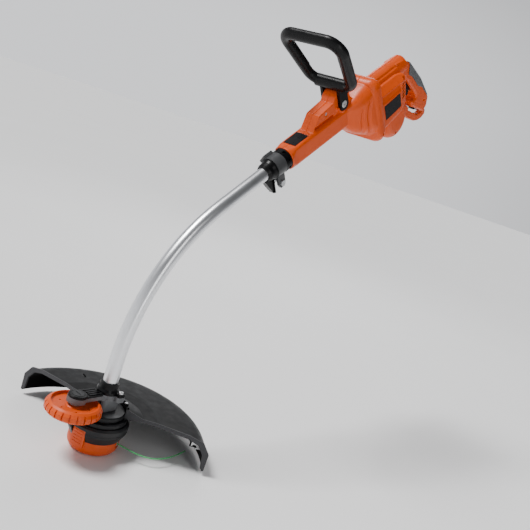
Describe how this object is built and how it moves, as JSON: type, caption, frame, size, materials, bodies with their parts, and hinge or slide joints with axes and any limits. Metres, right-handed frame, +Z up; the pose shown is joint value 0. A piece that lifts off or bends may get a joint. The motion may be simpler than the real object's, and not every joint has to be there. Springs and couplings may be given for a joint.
{
  "type": "string trimmer",
  "caption": "Corded electric string trimmer: curved tube, motor housing with D-grip, tilting bail handle, guarded spool head, edge wheel and line.",
  "frame": {"origin": "centre of the flat foot of the spool cap, on the spin axis of the cutting head", "axes": "+Z up along the spin axis of the head, +Y rearwards to the handles and the user, X across; the edge wheel is at -Y"},
  "size_m": [0.3343, 0.8402, 0.8028],
  "materials": {
    "orange": "moulded",
    "black": "moulded",
    "dark_grey": "moulded",
    "light_grey": "moulded",
    "soft_grey": "soft touch",
    "tube": "satin",
    "steel": "satin",
    "zinc": "plated",
    "copper": "enamelled",
    "brass": "plain",
    "carbon": "dull",
    "nylon": "natural nylon",
    "green_line": "translucent nylon",
    "badge": "satin"
  },
  "bodies": {
    "housing": {"housing_left": "orange", "housing_right": "orange", "housing_screws": "zinc", "neck_ring": "black", "clamp_body": "black", "top_badge": "badge", "side_badges": "badge", "soft_grip": "soft_grey", "outlet_plate": "black", "cord_gland": "black", "cord_clamp": "black", "terminal_block": "nylon", "motor_stator": "steel", "field_windings": "copper", "brush_holders": "brass", "carbon_brushes": "carbon", "motor_bearing_front": "steel", "motor_bearing_rear": "steel", "switch_block": "black", "trigger_pin": "steel", "trigger_spring": "steel"},
    "tube": {"shaft_tube": "tube", "drive_liner": "nylon", "liner_spacers": "black", "drive_core": "steel", "head_housing": "light_grey", "arm_cover": "black", "arm_cap": "dark_grey", "wheel_axle": "zinc", "tube_collar": "black", "collar_screws": "zinc", "guard": "black", "guard_screws": "zinc", "line_cutter": "steel", "cutter_screws": "zinc", "spindle_bearing_lower": "steel", "spindle_bearing_upper": "steel"},
    "head": {"spindle": "steel", "spindle_nut": "zinc", "spool_housing": "dark_grey", "spool_cap": "orange", "spool_spring": "steel", "line_eyelet": "zinc", "cutting_line": "green_line"},
    "spool": {"line_spool": "black", "wound_line": "green_line"},
    "wheel": {"edge_wheel": "orange", "wheel_bush": "nylon"},
    "collar": {"lock_collar": "light_grey", "clamp_bolt": "zinc"},
    "bail": {"bail_handle": "black", "bail_bolt": "zinc", "bail_nut": "zinc"},
    "trigger": {"trigger": "black"},
    "rotor": {"rotor_shaft": "steel", "armature": "copper", "commutator": "copper", "cooling_fan": "black"}
  },
  "joints": [
    {"name": "tube_turn", "type": "hinge", "parent": "housing", "child": "tube", "pos_m": [0, 0.13017, 0.42331], "axis": [0, 0.7705, 0.6374], "range_deg": [0, 180]},
    {"name": "collar_twist", "type": "hinge", "parent": "housing", "child": "collar", "pos_m": [0, 0.24266, 0.51638], "axis": [0, 0.7705, 0.6374], "range_deg": [0, 35]},
    {"name": "bail_tilt", "type": "hinge", "parent": "housing", "child": "bail", "pos_m": [0, 0.36303, 0.66268], "axis": [1, 0, 0], "range_deg": [-45, 25]},
    {"name": "trigger_pull", "type": "hinge", "parent": "housing", "child": "trigger", "pos_m": [0, 0.58904, 0.77697], "axis": [1, 0, 0], "range_deg": [0, 8], "stiffness_Nm_per_rad": 0.4, "springref_deg": -11.46},
    {"name": "rotor_spin", "type": "hinge", "parent": "housing", "child": "rotor", "pos_m": [0, 0.34976, 0.60498], "axis": [0, 0.878, 0.4787], "continuous": true},
    {"name": "head_spin", "type": "hinge", "parent": "tube", "child": "head", "pos_m": [0, 0, 0], "axis": [0, 0, 1], "continuous": true},
    {"name": "spool_feed", "type": "hinge", "parent": "head", "child": "spool", "pos_m": [0, 0, 0.02], "axis": [0, 0, 1], "continuous": true},
    {"name": "wheel_spin", "type": "hinge", "parent": "tube", "child": "wheel", "pos_m": [0, -0.0615, 0.08], "axis": [0, 0, 1], "continuous": true}
  ],
  "couplings": [
    {"joint": "head_spin", "follows": "rotor_spin", "ratio": 1}
  ]
}
